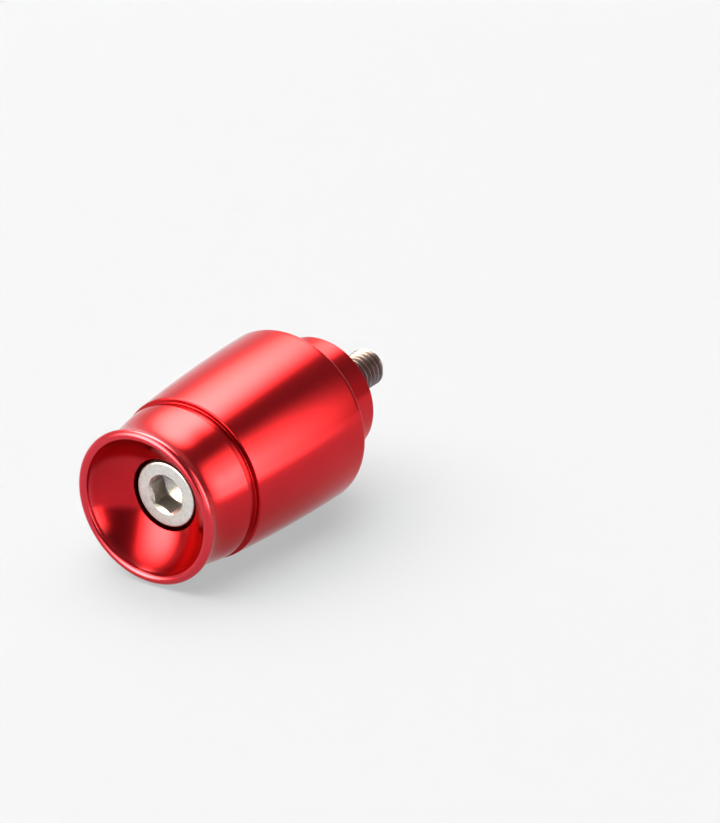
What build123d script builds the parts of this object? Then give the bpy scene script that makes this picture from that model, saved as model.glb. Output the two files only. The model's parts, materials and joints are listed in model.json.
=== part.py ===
"""Bar end weight: a turned and anodised weight with the socket cap screw that holds it.

Frame, in millimetres: the axis lies along Y, as on a level handlebar. The origin is the
middle of the flat seat that meets the bar. The screw thread points to +Y, into the bar,
and the dished outer end faces -Y. A station is a distance from the seat towards the dish.
"""
from build123d import *
from math import cos, radians, sin, tan
import os

# Neck, the spigot that passes through the end of the grip
neck_diameter = 18.8
neck_length = 8.8
neck_edge_chamfer = 0.4

# Barrel, slightly bulged and narrower towards the dish
barrel_diameter = 27.5
barrel_length = 24.0
barrel_middle_inset = 0.42
barrel_front_inset = 1.38
barrel_back_round = 0.35
barrel_front_round = 0.18

# Cove groove turned between the barrel and the cup
groove_width = 1.65
groove_depth = 0.4

# Cup, waisted and flaring out to a rounded lip bead
cup_length = 9.25
cup_root_step = 0.42
cup_root_slope = 5.5
waist_inset = 0.84
waist_share = 0.6
lip_diameter = 23.4
bead_width = 1.2
bead_outer_turn = 36.0
bead_inner_turn = 18.0

# Hollow dish inside the cup, down to the counterbore for the screw head
dish_depth = 5.05
dish_hollow = 0.48

# Socket cap screw, M6 x 45
thread_nominal = 6.0
thread_pitch = 1.0
pitch_line_share = 0.325
thread_length = 24.0
head_diameter = 10.0
head_height = 6.0
head_top_round = 0.45
head_bottom_chamfer = 0.25
socket_across_flats = 5.0
socket_depth = 3.1
socket_turn = -20.0
socket_mouth_chamfer = 0.3
drill_point_angle = 120.0
point_chamfer = 0.8

# How far the screw stands out of the seat, and the fits around it
thread_reach = 12.5
head_recess = 0.15
head_clearance = 0.7
shank_clearance = 0.3
bore_mouth_chamfer = 0.5

# How many short cones stand in for each small round
bead_cone_count = 9
dish_cone_count = 3
groove_cone_count = 4
edge_cone_count = 2

# Radii
neck_radius = neck_diameter / 2
barrel_radius = barrel_diameter / 2
barrel_front_radius = barrel_radius - barrel_front_inset
cup_root_radius = barrel_front_radius - cup_root_step
waist_radius = cup_root_radius - waist_inset
lip_radius = lip_diameter / 2
bead_radius = bead_width / 2
head_radius = head_diameter / 2
shank_radius = thread_nominal / 2
pitch_radius = shank_radius - pitch_line_share * thread_pitch
bore_radius = shank_radius + shank_clearance
counterbore_radius = head_radius + head_clearance

# Stations
barrel_end = neck_length + barrel_length
groove_end = barrel_end + groove_width
waist_station = groove_end + waist_share * cup_length
lip_station = groove_end + cup_length
dish_floor = lip_station - dish_depth
head_top = dish_floor - head_recess
head_seat = head_top - head_height
screw_tip = -thread_reach
thread_start = screw_tip + thread_length

SAME = 1e-4
SIDES = 6


def at(radius, station):
    """A point of the half section."""
    return (radius, -station)


def on_bead(turn):
    """A point of the lip bead, turned from its outermost point towards its top."""
    centre_radius = lip_radius - bead_radius
    centre_station = lip_station - bead_radius
    return at(centre_radius + bead_radius * cos(radians(turn)),
              centre_station + bead_radius * sin(radians(turn)))


def rims(solid, radius, station):
    """The circular edges of a radius at a station."""
    circles = solid.edges().filter_by(GeomType.CIRCLE)
    return [edge for edge in circles
            if abs(edge.radius - radius) < SAME and abs(edge.arc_center.Y + station) < SAME]


def turned(*lines):
    """The solid that a half section sweeps about the axis."""
    edges = [edge for line in lines for edge in line.edges()]
    return revolve(make_face(edges), Axis.Y)


def short_cones(arc, count):
    """A small round as a chain of short lines, to keep the facets of the part few."""
    return Polyline(*[arc @ (step / count) for step in range(count + 1)])


def edge_round(start, end, corner):
    """A round of a square corner, from one point to another on its two sides."""
    centre = Vector(*start) + Vector(*end) - Vector(*corner)
    outward = (Vector(*corner) - centre).normalized()
    radius = (Vector(*start) - centre).length
    return short_cones(ThreePointArc(start, centre + outward * radius, end), edge_cone_count)


def barrel_back_edge():
    start = at(barrel_radius - barrel_back_round, neck_length)
    end = at(barrel_radius, neck_length + barrel_back_round)
    return edge_round(start, end, at(barrel_radius, neck_length))


def barrel_side():
    start = at(barrel_radius, neck_length + barrel_back_round)
    middle = at(barrel_radius - barrel_middle_inset, neck_length + barrel_length / 2)
    return ThreePointArc(start, middle, at(barrel_front_radius, barrel_end - barrel_front_round))


def barrel_front_edge():
    start = at(barrel_front_radius, barrel_end - barrel_front_round)
    end = at(barrel_front_radius - barrel_front_round, barrel_end)
    return edge_round(start, end, at(barrel_front_radius, barrel_end))


def groove_side():
    start = at(barrel_front_radius - barrel_front_round, barrel_end)
    floor = at(cup_root_radius - groove_depth, barrel_end + groove_width / 2)
    return short_cones(ThreePointArc(start, floor, at(cup_root_radius, groove_end)), groove_cone_count)


def cup_side():
    """From the groove through the waist into the outside of the lip bead."""
    root_direction = (-sin(radians(cup_root_slope)), -cos(radians(cup_root_slope)))
    lip_direction = (sin(radians(bead_outer_turn)), -cos(radians(bead_outer_turn)))
    start = at(cup_root_radius, groove_end)
    points = [start, at(waist_radius, waist_station), on_bead(-bead_outer_turn)]
    return Spline(*points, tangents=[root_direction, lip_direction])


def lip_bead():
    inner_end = 180 + bead_inner_turn
    middle = (inner_end - bead_outer_turn) / 2
    round_lip = ThreePointArc(on_bead(-bead_outer_turn), on_bead(middle), on_bead(inner_end))
    return short_cones(round_lip, bead_cone_count)


def dish_side():
    """From the inside of the lip bead down to the counterbore, hollowed into the metal."""
    start = Vector(*on_bead(180 + bead_inner_turn))
    end = Vector(*at(counterbore_radius, dish_floor))
    along = (end - start).normalized()
    middle = (start + end) / 2 + Vector(along.Y, -along.X) * dish_hollow
    return short_cones(ThreePointArc(start, middle, end), dish_cone_count)


def make_weight_body():
    outside = [
        Line(at(bore_radius, 0), at(neck_radius, 0)),
        Line(at(neck_radius, 0), at(neck_radius, neck_length)),
        Line(at(neck_radius, neck_length), at(barrel_radius - barrel_back_round, neck_length)),
        barrel_back_edge(),
        barrel_side(),
        barrel_front_edge(),
        groove_side(),
        cup_side(),
        lip_bead(),
    ]
    inside = [
        dish_side(),
        Line(at(counterbore_radius, dish_floor), at(counterbore_radius, head_seat)),
        Line(at(counterbore_radius, head_seat), at(bore_radius, head_seat)),
        Line(at(bore_radius, head_seat), at(bore_radius, 0)),
    ]
    body = turned(*outside, *inside)
    body = chamfer(rims(body, neck_radius, 0), neck_edge_chamfer)
    return chamfer(rims(body, bore_radius, 0), bore_mouth_chamfer)


def socket_cutter():
    """The hexagon socket with its conical mouth and the drill point at its bottom."""
    corner_radius = socket_across_flats / 2 / cos(radians(180 / SIDES))
    mouth = Plane(origin=(0, -head_top, 0), x_dir=(1, 0, 0), z_dir=(0, 1, 0))
    hexagon = mouth * Rot(0, 0, -socket_turn) * RegularPolygon(corner_radius, SIDES)
    socket = extrude(hexagon, socket_depth)
    mouth_radius = corner_radius + socket_mouth_chamfer / 2
    mouth_cone = turned(
        Polyline(at(0, head_top), at(mouth_radius, head_top), at(0, head_top - mouth_radius), close=True))
    point_radius = socket_across_flats / 2
    point_depth = point_radius / tan(radians(drill_point_angle / 2))
    floor = head_top - socket_depth
    drill_point = turned(
        Polyline(at(0, floor), at(point_radius, floor), at(0, floor - point_depth), close=True))
    return [socket, mouth_cone, drill_point]


def make_socket_head_screw():
    """The thread is a plain cylinder at its pitch diameter."""
    top_edge = edge_round(at(head_radius - head_top_round, head_top),
                          at(head_radius, head_top - head_top_round), at(head_radius, head_top))
    rest = Polyline(
        top_edge @ 1, at(head_radius, head_seat),
        at(shank_radius, head_seat), at(shank_radius, thread_start + shank_radius - pitch_radius),
        at(pitch_radius, thread_start), at(pitch_radius, screw_tip), at(0, screw_tip),
        at(0, head_top), top_edge @ 0)
    screw = turned(top_edge, rest)
    screw = chamfer(rims(screw, head_radius, head_seat), head_bottom_chamfer)
    screw = chamfer(rims(screw, pitch_radius, screw_tip), point_chamfer)
    return screw - socket_cutter()


parts = {
    "weight_body": make_weight_body(),
    "socket_head_screw": make_socket_head_screw(),
}
os.makedirs("parts", exist_ok=True)
for name, part in parts.items():
    export_step(part, f"parts/{name}.step")
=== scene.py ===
import json
import math

import bmesh
import bpy
from mathutils import Matrix, Vector


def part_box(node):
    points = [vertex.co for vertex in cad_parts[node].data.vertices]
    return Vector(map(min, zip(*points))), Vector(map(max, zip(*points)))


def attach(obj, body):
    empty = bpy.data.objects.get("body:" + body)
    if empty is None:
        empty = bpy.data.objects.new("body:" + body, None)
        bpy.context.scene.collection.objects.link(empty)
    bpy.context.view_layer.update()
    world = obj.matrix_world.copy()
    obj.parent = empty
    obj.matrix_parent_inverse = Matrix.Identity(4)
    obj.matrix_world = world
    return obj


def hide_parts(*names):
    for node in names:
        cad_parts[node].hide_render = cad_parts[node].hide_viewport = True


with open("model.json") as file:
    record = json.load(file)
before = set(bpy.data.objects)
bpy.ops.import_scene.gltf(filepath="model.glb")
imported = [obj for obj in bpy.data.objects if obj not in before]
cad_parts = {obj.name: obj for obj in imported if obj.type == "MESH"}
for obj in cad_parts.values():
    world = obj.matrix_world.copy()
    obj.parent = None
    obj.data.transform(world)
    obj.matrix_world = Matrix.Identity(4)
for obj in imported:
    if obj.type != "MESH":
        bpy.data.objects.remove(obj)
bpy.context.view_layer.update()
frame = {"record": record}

MM = 0.001
TAU = 2 * math.pi

# Sizes read from the frame, in millimetres.
# A station is a distance from the seat towards the dish.
body_low, body_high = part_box("weight_body")
screw_low, screw_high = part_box("socket_head_screw")
mounts = {mount["name"]: mount for mount in frame["record"]["mounts"]}
BARREL_R = body_high.x / MM
LIP_S = -body_low.y / MM
NECK_R = mounts["grip_spigot"]["dims"]["r_mm"]
HEAD_R = screw_high.x / MM
HEAD_TOP = -screw_low.y / MM
SCREW_TIP = -screw_high.y / MM

# The turned body, from the seat to the lip
BORE_R = 3.3
BORE_CHAMFER = 0.5
NECK_CHAMFER = 0.4
NECK_S = 8.8
BARREL_END = 32.8
BARREL_MID_R = BARREL_R - 0.42
FRONT_R = BARREL_R - 1.38
BACK_ROUND = 0.35
FRONT_ROUND = 0.18
GROOVE_END = 34.45
GROOVE_FLOOR_R = 11.6
ROOT_R = FRONT_R - 0.42
ROOT_ROUND = 0.09
LIP_R = 11.7
BEAD_R = 0.75
BEAD_START = -36
BEAD_END = 168
BEAD_SLOPE = 0.7265

# The dish and the counterbore under it
HEAD_LENGTH = 6.0
HEAD_CLEARANCE = 0.5
HEAD_RECESS = 0.15
HEAD_SEAT = HEAD_TOP - HEAD_LENGTH
WELL_R = HEAD_R + HEAD_CLEARANCE
DISH_FLOOR = HEAD_TOP + HEAD_RECESS
DISH_HOLLOW = 0.48

# The screw
MAJOR_R = 3.0
PITCH = 1.0
THREAD_DEPTH = 0.6134 * PITCH
THREAD_LENGTH = 24.0
MINOR_R = MAJOR_R - THREAD_DEPTH
THREAD_START = SCREW_TIP + THREAD_LENGTH
TIP_R = 2.2
RUN_OUT_SLOPE = 0.9
HEAD_ROUND = 0.3
HEAD_CHAMFER = 0.25
SOCKET_R = 2.5
SOCKET_MOUTH_R = 3.06
SOCKET_MOUTH_DEPTH = 0.12
SOCKET_FLOOR = HEAD_TOP - 3.1
SOCKET_TURN = math.radians(-20.0)
SOCKET_GAP = 0.01
DRILL_R = SOCKET_R * 0.96
DRILL_HALF_ANGLE = math.radians(60)

BODY_SEGMENTS = 288
HEAD_SEGMENTS = 240
THREAD_SEGMENTS = 72
THREAD_STEPS = 16


# Profiles, as lists of (radius, station)
def arc(centre, radius, start, end, count):
    """Points of an arc in the half section. Angles run from outward towards the dish."""
    points = []
    for k in range(count + 1):
        turn = math.radians(start + (end - start) * k / count)
        points.append((centre[0] + radius * math.cos(turn), centre[1] + radius * math.sin(turn)))
    return points


def softened(corners, support=0.07):
    """A half section from corners (radius, station, rounding). Each corner is rounded by a small
    arc with a point close to both of its ends, so that flats keep clean normals."""
    longest_share = 0.45
    degrees_a_step = 15
    points = []
    for k, (r, s, rounding) in enumerate(corners):
        here = Vector((r, s))
        if rounding <= 0 or k in (0, len(corners) - 1):
            points.append(here)
            continue
        before = Vector(corners[k - 1][:2]) - here
        after = Vector(corners[k + 1][:2]) - here
        a = before.normalized()
        b = after.normalized()
        half = a.angle(b) / 2
        reach = min(rounding / math.tan(half),
                    longest_share * before.length, longest_share * after.length)
        radius = reach * math.tan(half)
        centre = here + (a + b).normalized() * (radius / math.sin(half))
        start = here + a * reach - centre
        sweep = math.pi - 2 * half
        sign = 1 if (a.x * b.y - a.y * b.x) < 0 else -1
        if before.length > reach + 2 * support:
            points.append(here + a * (reach + support))
        steps = max(2, int(math.degrees(sweep) / degrees_a_step))
        for j in range(steps + 1):
            turn = sign * sweep * j / steps
            cos, sin = math.cos(turn), math.sin(turn)
            points.append(centre + Vector((start.x * cos - start.y * sin,
                                           start.x * sin + start.y * cos)))
        if after.length > reach + 2 * support:
            points.append(here + b * (reach + support))
    return [(p[0], p[1]) for p in points]


def hermite(knots, count):
    """A curve through knots (station, radius, slope), with count steps between two knots."""
    points = []
    for (s0, r0, m0), (s1, r1, m1) in zip(knots, knots[1:]):
        for k in range(count):
            t = k / count
            h = s1 - s0
            r = ((2 * t ** 3 - 3 * t ** 2 + 1) * r0 + (t ** 3 - 2 * t ** 2 + t) * h * m0
                 + (3 * t ** 2 - 2 * t ** 3) * r1 + (t ** 3 - t ** 2) * h * m1)
            points.append((r, s0 + h * t))
    points.append((knots[-1][1], knots[-1][0]))
    return points


def barrel_side(start, end, count):
    """The bulged side, a shallow curve through the two ends and the middle."""
    middle = NECK_S + (BARREL_END - NECK_S) / 2
    points = []
    for k in range(count + 1):
        s = start + (end - start) * k / count
        a = (s - middle) * (s - end) / ((start - middle) * (start - end))
        b = (s - start) * (s - end) / ((middle - start) * (middle - end))
        c = (s - start) * (s - middle) / ((end - start) * (end - middle))
        points.append((a * BARREL_R + b * BARREL_MID_R + c * FRONT_R, s))
    return points


def three_point_arc(p0, p1, p2, count):
    """Points of the arc from p0 through p1 to p2."""
    (x0, y0), (x1, y1), (x2, y2) = p0, p1, p2
    d = 2 * (x0 * (y1 - y2) + x1 * (y2 - y0) + x2 * (y0 - y1))
    q0, q1, q2 = x0 * x0 + y0 * y0, x1 * x1 + y1 * y1, x2 * x2 + y2 * y2
    cx = (q0 * (y1 - y2) + q1 * (y2 - y0) + q2 * (y0 - y1)) / d
    cy = (q0 * (x2 - x1) + q1 * (x0 - x2) + q2 * (x1 - x0)) / d
    radius = math.hypot(x0 - cx, y0 - cy)
    turns = [math.atan2(y - cy, x - cx) for x, y in (p0, p1, p2)]
    for k in (1, 2):
        turns[k] -= TAU * round((turns[k] - turns[k - 1]) / TAU)
    points = []
    for k in range(count + 1):
        turn = turns[0] + (turns[2] - turns[0]) * k / count
        points.append((cx + radius * math.cos(turn), cy + radius * math.sin(turn)))
    return points


def groove_profile():
    """A straight wall by the barrel, a flat floor and a small step up to the cup."""
    wall = [(FRONT_R - r, BARREL_END + s) for r, s in ((0.2, 0.01), (0.22, 0.015))]
    foot = [(GROOVE_FLOOR_R + r, BARREL_END + s) for r, s in (
        (0.1, 0.04), (0.07, 0.05), (0.03, 0.08), (0.01, 0.12), (0, 0.2), (0, 0.7))]
    rise = [(GROOVE_FLOOR_R + r, GROOVE_END - s) for r, s in (
        (0, 0.22), (0.01, 0.15), (0.05, 0.09))]
    edge = [(ROOT_R - r, GROOVE_END - s) for r, s in ((0.12, 0.04), (0.09, 0.02))]
    return wall + foot + rise + edge


def cup_profile(bead_start):
    """From the root by the groove through the waist to where the lip bead starts."""
    root = arc((ROOT_R - ROOT_ROUND, GROOVE_END + 0.07), ROOT_ROUND, -78, -5, 5)
    knots = [(GROOVE_END + 0.12, ROOT_R - 0.012, -0.0963), (37.23, 11.516, -0.196),
             (40.02, 11.109, -0.058), (41.43, 11.135, 0.123),
             (bead_start[1], bead_start[0], BEAD_SLOPE)]
    return root + hermite(knots, 9)


def dish_profile(outer):
    """The hollow dish from the inner end of the lip bead towards the counterbore."""
    inner = (WELL_R, DISH_FLOOR)
    middle = (Vector(outer) + Vector(inner)) / 2
    along = (Vector(inner) - Vector(outer)).normalized()
    deepest = middle + Vector((-along.y, along.x)) * DISH_HOLLOW
    return three_point_arc(outer, deepest, inner, 24)[1:-1]


def body_profile():
    """The closed half section of the weight, starting and ending in the middle of the bore.
    The last corner of the back only gives the direction of the barrel's side."""
    mid_bore = (BORE_R, 6.0, 0)
    back = softened([
        mid_bore, (BORE_R, BORE_CHAMFER, 0.05), (BORE_R + BORE_CHAMFER, 0, 0.05),
        (NECK_R - NECK_CHAMFER, 0, 0.06), (NECK_R, NECK_CHAMFER, 0.08), (NECK_R, NECK_S, 0.12),
        (BARREL_R, NECK_S, BACK_ROUND), (BARREL_R, NECK_S + 3, 0)])[:-2]
    barrel = barrel_side(NECK_S + BACK_ROUND, BARREL_END - FRONT_ROUND, 40)
    front = arc((FRONT_R - FRONT_ROUND, BARREL_END - FRONT_ROUND), FRONT_ROUND, 0, 78, 5)
    bead = arc((LIP_R - BEAD_R, LIP_S - BEAD_R), BEAD_R, BEAD_START, BEAD_END, 36)
    dish = dish_profile(bead[-1])
    well = softened([(*dish[-1], 0), (WELL_R, DISH_FLOOR, 0.1), (WELL_R, HEAD_SEAT, 0.1),
                     (BORE_R, HEAD_SEAT, 0.1), mid_bore])
    return (back + barrel + front[1:] + groove_profile() + cup_profile(bead[0]) + bead[1:]
            + dish + well[1:-1])


# Meshes
def turned(name, rings, segments, closed=False, helical=False):
    """A surface whose rings give (radius, station) at each turn. A ring is a pair, or a function
    of the turn. Turns run from +X towards +Z about the Y axis. A helical ring doesn't end where
    it starts, so it has a point more than it has segments."""
    row = segments + 1 if helical else segments
    verts = []
    for ring in rings:
        for j in range(row):
            turn = TAU * j / segments
            r, s = ring(turn) if callable(ring) else ring
            verts.append((r * math.cos(turn) * MM, -s * MM, r * math.sin(turn) * MM))
    faces = []
    count = len(rings)
    for i in range(count if closed else count - 1):
        n = (i + 1) % count
        for j in range(segments):
            k = (j + 1) % row
            faces.append((i * row + j, i * row + k, n * row + k, n * row + j))
    mesh = bpy.data.meshes.new(name)
    mesh.from_pydata(verts, [], faces)
    return mesh


def finished(mesh, merge=2e-8, thinnest=1e-8, sharp=35, capped=False):
    """Outward faces, no doubled points, smooth shading with true corners kept sharp. capped
    closes open ends."""
    bm = bmesh.new()
    bm.from_mesh(mesh)
    bmesh.ops.remove_doubles(bm, verts=bm.verts, dist=merge)
    bmesh.ops.dissolve_degenerate(bm, edges=bm.edges, dist=thinnest)
    if capped:
        ends = [edge for edge in bm.edges if edge.is_boundary]
        bmesh.ops.holes_fill(bm, edges=ends, sides=0)
    bmesh.ops.recalc_face_normals(bm, faces=bm.faces)
    bm.to_mesh(mesh)
    bm.free()
    mesh.shade_smooth()
    mesh.set_sharp_from_angle(angle=math.radians(sharp))
    return mesh


def added(name, data):
    item = bpy.data.objects.new(name, data)
    bpy.context.scene.collection.objects.link(item)
    return item


def hexagon(turn):
    """How far the socket wall lies from the axis at a turn."""
    step = TAU / 6
    local = (turn - SOCKET_TURN) % step - step / 2
    return SOCKET_R / math.cos(local)


def head_rings():
    """From the plain shank over the head and down into the hexagon socket."""
    mouth_end_r = SOCKET_MOUTH_R - SOCKET_MOUTH_DEPTH
    shank = [(MAJOR_R, THREAD_START - 0.5), (MAJOR_R, THREAD_START), (MAJOR_R, HEAD_SEAT - 0.05)]
    outside = softened([
        (MAJOR_R, HEAD_SEAT + 0.02, 0), (HEAD_R - HEAD_CHAMFER, HEAD_SEAT, 0.04),
        (HEAD_R, HEAD_SEAT + HEAD_CHAMFER, 0.06), (HEAD_R, HEAD_TOP, HEAD_ROUND),
        (SOCKET_MOUTH_R, HEAD_TOP, 0.06), (mouth_end_r, HEAD_TOP - SOCKET_MOUTH_DEPTH, 0)])

    def wall(share):
        def ring(turn):
            r = hexagon(turn)
            top = HEAD_TOP - (SOCKET_MOUTH_R - r)
            return r - SOCKET_GAP, top + (SOCKET_FLOOR - top) * share
        return ring

    def cone(share):
        def ring(turn):
            r = mouth_end_r * (1 - share) + hexagon(turn) * share
            return r, HEAD_TOP - (SOCKET_MOUTH_R - r)
        return ring

    def floor(share):
        def ring(turn):
            return hexagon(turn) * (1 - share) + DRILL_R * share, SOCKET_FLOOR
        return ring

    drill_point = [(DRILL_R * k, SOCKET_FLOOR - DRILL_R * (1 - k) / math.tan(DRILL_HALF_ANGLE))
                   for k in (0.97, 0.5, 0.1, 0.004)]
    return (shank + outside + [cone(share) for share in (0.5, 0.93)]
            + [wall(share) for share in (0.02, 0.08, 0.5, 0.95)]
            + [floor(share) for share in (0.1, 1.0)] + drill_point)


def thread_radius(phase):
    """Radius over one pitch: flat crest, flat root, and flanks eased at both ends."""
    t = abs((phase + 0.5) % 1.0 - 0.5)
    share = min(max((t - 1 / 16) / (5 / 16), 0.0), 1.0)
    smooth = share * share * (3 - 2 * share)
    return MAJOR_R + (MINOR_R - MAJOR_R) * (0.65 * share + 0.35 * smooth)


def thread_rings():
    """A right-hand thread. Each ring follows the helix, and its ends are trimmed flat."""
    length = THREAD_START - SCREW_TIP
    rings = []
    for k in range(int((length / PITCH + 2) * THREAD_STEPS) + 1):
        def ring(turn, phase=k / THREAD_STEPS - 1):
            s = SCREW_TIP + PITCH * (phase + turn / TAU)
            tip_cone = TIP_R + max(0.0, s - SCREW_TIP)
            run_out = MINOR_R + RUN_OUT_SLOPE * max(0.0, s - (THREAD_START - PITCH))
            r = min(MAJOR_R, max(min(thread_radius(phase), tip_cone), run_out))
            return r, min(max(s, SCREW_TIP), THREAD_START)
        rings.append(ring)
    return rings


# Nodes
def plug(tree, socket, value):
    """Sets a socket to a constant, or links an output to it."""
    if isinstance(value, (int, float, tuple)):
        socket.default_value = value
    else:
        tree.links.new(value, socket)


def add(tree, kind, inputs, **settings):
    """A node with its settings, and its inputs by name or number."""
    node = tree.nodes.new(kind)
    for key, value in settings.items():
        setattr(node, key, value)
    for key, value in inputs.items():
        plug(tree, node.inputs[key], value)
    return node


def calculate(tree, operation, *values):
    return add(tree, "ShaderNodeMath", dict(enumerate(values)), operation=operation).outputs[0]


def noise(tree, scale, detail, dimensions="3D", **inputs):
    return add(tree, "ShaderNodeTexNoise", {"Scale": scale, "Detail": detail, **inputs},
               noise_dimensions=dimensions).outputs[0]


def map_range(tree, value, low, high, to_low, to_high, interpolation="LINEAR"):
    return add(tree, "ShaderNodeMapRange", {
        "Value": value, "From Min": low, "From Max": high, "To Min": to_low, "To Max": to_high,
    }, interpolation_type=interpolation).outputs["Result"]


def mix_colour(tree, factor, a, b):
    return add(tree, "ShaderNodeMix", {0: factor, 6: a, 7: b}, data_type="RGBA").outputs[2]


def bump(tree, height, strength, distance):
    return add(tree, "ShaderNodeBump", {
        "Height": height, "Strength": strength, "Distance": distance}).outputs[0]


def split_xyz(tree, vector):
    return add(tree, "ShaderNodeSeparateXYZ", {0: vector}).outputs


# Materials
def new_material(name):
    material = bpy.data.materials.new(name)
    material.use_nodes = True
    tree = material.node_tree
    tree.nodes.clear()
    out = tree.nodes.new("ShaderNodeOutputMaterial")
    bsdf = tree.nodes.new("ShaderNodeBsdfPrincipled")
    tree.links.new(bsdf.outputs[0], out.inputs[0])
    return material, tree, bsdf


def axis_coordinates(tree):
    """Object position in millimetres, with its distance from the axis and its Y."""
    place = tree.nodes.new("ShaderNodeTexCoord").outputs["Object"]
    scaled = add(tree, "ShaderNodeVectorMath", {0: place, "Scale": 1 / MM},
                 operation="SCALE").outputs[0]
    x, y, z = split_xyz(tree, scaled)
    squares = calculate(tree, "ADD", calculate(tree, "MULTIPLY", x, x),
                        calculate(tree, "MULTIPLY", z, z))
    return scaled, calculate(tree, "SQRT", squares), y


def anodised(name):
    """Red dye over fine turning: lines round the axis, with light spread across them. The lip
    bead is painted a little paler than the rest: a painted sheen for its bright reflections."""
    material, tree, bsdf = new_material(name)
    place, radius, along = axis_coordinates(tree)
    profile = calculate(tree, "SUBTRACT", radius, along)
    lines = noise(tree, scale=5.0, detail=3.0, dimensions="1D", W=profile)
    fine = noise(tree, scale=16.0, detail=1.0, dimensions="1D", W=profile)
    cloud = noise(tree, scale=0.16, detail=3.0, Vector=place)
    dye = mix_colour(tree, map_range(tree, cloud, 0.3, 0.7, 0, 1),
                     (0.46, 0.007, 0.013, 1), (0.50, 0.008, 0.014, 1))
    # Painted sheen: towards the lip the colour turns paler, standing for bright reflections on the
    # bead.
    lip = map_range(tree, along, 1.3 - LIP_S, 0.6 - LIP_S, 0, 1)
    tree.links.new(mix_colour(tree, lip, dye, (0.62, 0.034, 0.05, 1)), bsdf.inputs["Base Color"])
    bsdf.inputs["Metallic"].default_value = 1.0
    tree.links.new(map_range(tree, lines, 0.25, 0.75, 0.21, 0.235), bsdf.inputs["Roughness"])
    bsdf.inputs["Anisotropic"].default_value = 0.3
    bsdf.inputs["Anisotropic Rotation"].default_value = 0.25
    bsdf.inputs["Coat Weight"].default_value = 1.0
    bsdf.inputs["Coat Roughness"].default_value = 0.16
    bsdf.inputs["Coat IOR"].default_value = 1.2
    bsdf.inputs["Specular Tint"].default_value = (1.0, 0.4, 0.42, 1)
    tangent = add(tree, "ShaderNodeTangent", {}, direction_type="RADIAL", axis="Y")
    tree.links.new(tangent.outputs[0], bsdf.inputs["Tangent"])
    height = calculate(tree, "ADD", calculate(tree, "MULTIPLY", lines, 0.6),
                       calculate(tree, "MULTIPLY", fine, 0.4))
    tree.links.new(bump(tree, height, strength=0.06, distance=0.02 * MM), bsdf.inputs["Normal"])
    return material


def stainless(name, base, rough, grain, strength, painted_socket_shade=None):
    """Plain stainless steel with a faint mottled grain. painted_socket_shade darkens the hexagon
    socket: painted shade in the recess.
    """
    material, tree, bsdf = new_material(name)
    place, radius, along = axis_coordinates(tree)
    cloud = noise(tree, scale=1.5, detail=4.0, Vector=place)
    specks = noise(tree, scale=grain, detail=3.0, Vector=place)
    dark = tuple(c * 0.82 for c in base)
    colour = mix_colour(tree, map_range(tree, cloud, 0.3, 0.7, 0, 1), (*dark, 1), (*base, 1))
    # Painted shade: the walls and floor of the hexagon socket get a darker colour, standing for
    # the shade in the recess.
    if painted_socket_shade:
        inside = calculate(
            tree, "MULTIPLY",
            map_range(tree, radius, SOCKET_MOUTH_R, SOCKET_MOUTH_R - 0.1, 0, 1),
            map_range(tree, along, 0.3 - HEAD_TOP, 0.7 - HEAD_TOP, 0, 1))
        colour = mix_colour(tree, inside, colour, (*painted_socket_shade, 1))
    tree.links.new(colour, bsdf.inputs["Base Color"])
    bsdf.inputs["Metallic"].default_value = 1.0
    tree.links.new(map_range(tree, specks, 0.3, 0.7, rough - 0.05, rough + 0.07),
                   bsdf.inputs["Roughness"])
    tree.links.new(bump(tree, specks, strength, distance=0.03 * MM), bsdf.inputs["Normal"])
    return material


def floor_paint(name, grey, glow, share):
    """Matt white paper. The camera and reflections see a share of it as an even backdrop."""
    material, tree, bsdf = new_material(name)
    path = tree.nodes.new("ShaderNodeLightPath").outputs
    seen = calculate(tree, "MAXIMUM", path["Is Camera Ray"], path["Is Glossy Ray"])
    white = add(tree, "ShaderNodeEmission", {"Strength": glow})
    mix = add(tree, "ShaderNodeMixShader", {
        0: calculate(tree, "MULTIPLY", seen, share), 1: bsdf.outputs[0], 2: white.outputs[0]})
    tree.links.new(mix.outputs[0], tree.nodes["Material Output"].inputs[0])
    bsdf.inputs["Base Color"].default_value = (grey, grey, grey, 1)
    bsdf.inputs["Roughness"].default_value = 0.9
    bsdf.inputs["Specular IOR Level"].default_value = 0.0
    return material


# Pieces
weight_mesh = turned("weight_turned", body_profile(), BODY_SEGMENTS, closed=True)
weight = added("weight_turned", finished(weight_mesh))
weight.data.materials.append(anodised("red_anodised"))
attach(weight, "root")
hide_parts("weight_body")

head = added("screw_head", finished(turned("screw_head", head_rings(), HEAD_SEGMENTS)))
# The head's socket is painted darker: painted shade in the recess.
head.data.materials.append(stainless(
    "stainless_head", (0.66, 0.645, 0.64), rough=0.30, grain=6.0, strength=0.8,
    painted_socket_shade=(0.50, 0.47, 0.45)))
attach(head, "root")
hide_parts("socket_head_screw")

thread_mesh = turned("screw_thread", thread_rings(), THREAD_SEGMENTS, helical=True)
thread = added("screw_thread", finished(thread_mesh, 1e-7, 1e-7, sharp=40, capped=True))
# Painted shade: the thread uses a much darker, slightly brown copy of the head's steel colour.
thread.data.materials.append(stainless(
    "shaded_stainless_thread", (0.26, 0.22, 0.225), rough=0.30, grain=9.0, strength=0.3))
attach(thread, "root")
for piece in (weight, head, thread):
    piece.visible_diffuse = False


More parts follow.
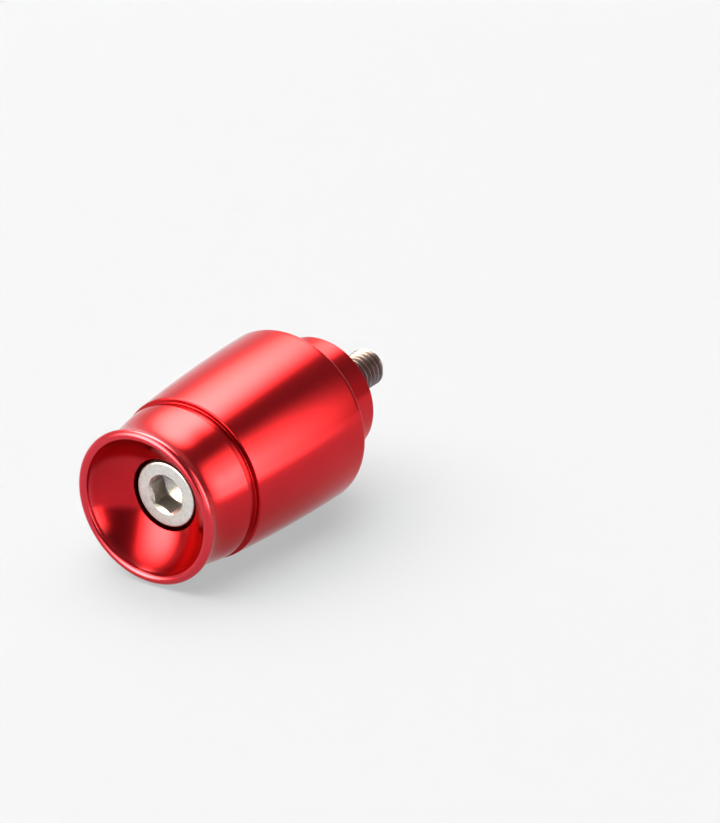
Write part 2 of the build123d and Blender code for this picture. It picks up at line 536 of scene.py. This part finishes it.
# Floor. The weight balances on the bulge of its barrel, with its lip just clear of the floor.
REST_TILT = math.radians(3.45)
FLOOR_HALF = 3.0
drop = MM * max(s * math.sin(REST_TILT) + r * math.cos(REST_TILT) for r, s in body_profile())
floor_normal = Vector((0, math.sin(REST_TILT), math.cos(REST_TILT)))
floor_mesh = bpy.data.meshes.new("floor")
floor_mesh.from_pydata([(FLOOR_HALF * x, FLOOR_HALF * y, 0)
                        for x, y in ((-1, -1), (1, -1), (1, 1), (-1, 1))], [], [(0, 1, 2, 3)])
floor = added("floor", floor_mesh)
floor.matrix_world = Matrix.Translation(-floor_normal * drop) @ Matrix.Rotation(-REST_TILT, 4, "X")
floor.data.materials.append(floor_paint("floor_white", grey=0.72, glow=0.94, share=0.35))

# Camera, fitted to the outlines in the photograph
CAMERA_PLACE = Vector((0.23873, -0.32580, 0.18621))
CAMERA_RIGHT = Vector((0.8242, 0.5651, -0.0382))
CAMERA_UP = Vector((-0.2116, 0.3698, 0.9047))
camera_data = bpy.data.cameras.new("camera")
camera_data.sensor_fit = "HORIZONTAL"
camera_data.sensor_width = 36
camera_data.lens = 148.46
camera_data.clip_start = 0.01
camera_data.clip_end = 20
camera = added("camera", camera_data)
back = CAMERA_RIGHT.cross(CAMERA_UP).normalized()
up = back.cross(CAMERA_RIGHT).normalized()
right = up.cross(back).normalized()
facing = Matrix((right, up, back)).transposed().to_4x4()
camera.matrix_world = Matrix.Translation(CAMERA_PLACE) @ facing
bpy.context.scene.camera = camera


# Lamps. They aim at a point on the axis inside the barrel.
AIM = Vector((0, -0.015, 0))
WARM = (1, 0.96, 0.74)
WHITE = (1, 1, 1)


def panel(name, azimuth, elevation, distance, width, height, radiance, fades,
          spin=0.0, colour=WARM, twice=0.15):
    """A soft box aimed at the object. Angles are in degrees, and azimuth runs from -Y towards +X.
    fades gives the shares of its width and height over which it fades in from each edge: low x,
    high x, low y, high y. twice is its share of light at a second reflection."""
    data = bpy.data.lights.new(name, "AREA")
    data.shape = "RECTANGLE"
    data.size = width
    data.size_y = height
    data.energy = radiance * math.pi * width * height
    data.color = colour
    data.use_nodes = True
    tree = data.node_tree
    place = split_xyz(tree, tree.nodes.new("ShaderNodeNewGeometry").outputs["Parametric"])
    depth = tree.nodes.new("ShaderNodeLightPath").outputs["Ray Depth"]
    total = map_range(tree, depth, 2.0, 3.0, 1.0, twice)
    for k, fade in enumerate(fades):
        value = place[k // 2]
        if k % 2:
            value = calculate(tree, "SUBTRACT", 1.0, value)
        edge = map_range(tree, value, 0.0, fade, 0.0, 1.0, "SMOOTHSTEP")
        total = calculate(tree, "MULTIPLY", total, edge)
    tree.links.new(total, tree.nodes["Emission"].inputs["Strength"])
    a, e = math.radians(azimuth), math.radians(elevation)
    direction = Vector((math.sin(a) * math.cos(e), -math.cos(a) * math.cos(e), math.sin(e)))
    lamp = added(name, data)
    lamp.matrix_world = (Matrix.Translation(direction * distance + AIM)
                         @ direction.to_track_quat("Z", "Y").to_matrix().to_4x4()
                         @ Matrix.Rotation(math.radians(spin), 4, "Z"))
    lamp.visible_camera = False
    return lamp


# Only reflections see these five.
for lamp in (
    panel("soft_back", azimuth=-137, elevation=55, distance=1.2, width=1.72, height=1.52,
          radiance=22.0, fades=(0.37, 0.39, 0.66, 0.31), spin=1),
    panel("soft_right", azimuth=106, elevation=22, distance=0.089, width=0.112, height=0.098,
          radiance=10.0, fades=(0.31, 0.65, 0.11, 0.68), spin=-7),
    panel("soft_side", azimuth=115, elevation=13, distance=0.53, width=0.19, height=0.20,
          radiance=3.7, fades=(0.4, 0.4, 0.4, 0.4)),
    panel("soft_left", azimuth=-28, elevation=28, distance=1.0, width=1.38, height=1.88,
          radiance=17.0, fades=(0.43, 0.51, 0.31, 0.57), spin=20),
    panel("soft_edge", azimuth=60, elevation=7, distance=0.23, width=0.075, height=0.27,
          radiance=5.2, fades=(0.4, 0.4, 0.4, 0.4), spin=10),
):
    lamp.visible_diffuse = False

# The large lamp overhead lights the floor and casts the soft shadow.
top = panel("soft_top", azimuth=-88, elevation=74, distance=2.6, width=6.2, height=6.2,
            radiance=2.27, fades=(0.3, 0.3, 0.3, 0.3), colour=WHITE, twice=1.0)
top.visible_glossy = False
top.data.cycles.use_multiple_importance_sampling = False

# World: dim, brighter towards +Y, with a pale glow low down on the -X +Y side
world = bpy.data.worlds.new("world")
world.use_nodes = True
tree = world.node_tree
x, y, z = split_xyz(tree, tree.nodes.new("ShaderNodeTexCoord").outputs["Generated"])
low = map_range(tree, z, 0.75, 0.5, 0.0, 1.0)
behind = calculate(tree, "SUBTRACT", calculate(tree, "MULTIPLY", y, 0.6),
                   calculate(tree, "MULTIPLY", x, 0.8))
glow = calculate(tree, "MULTIPLY", low, map_range(tree, behind, 0.3, 0.8, 0.0, 1.0))
far_side = map_range(tree, y, -0.6, 0.4, 0.14, 0.28)
background = tree.nodes["Background"]
background.inputs["Color"].default_value = (0.98, 0.99, 1.0, 1)
tree.links.new(calculate(tree, "MULTIPLY_ADD", glow, 0.8, far_side),
               background.inputs["Strength"])
bpy.context.scene.world = world
bpy.context.scene.view_settings.view_transform = "Standard"
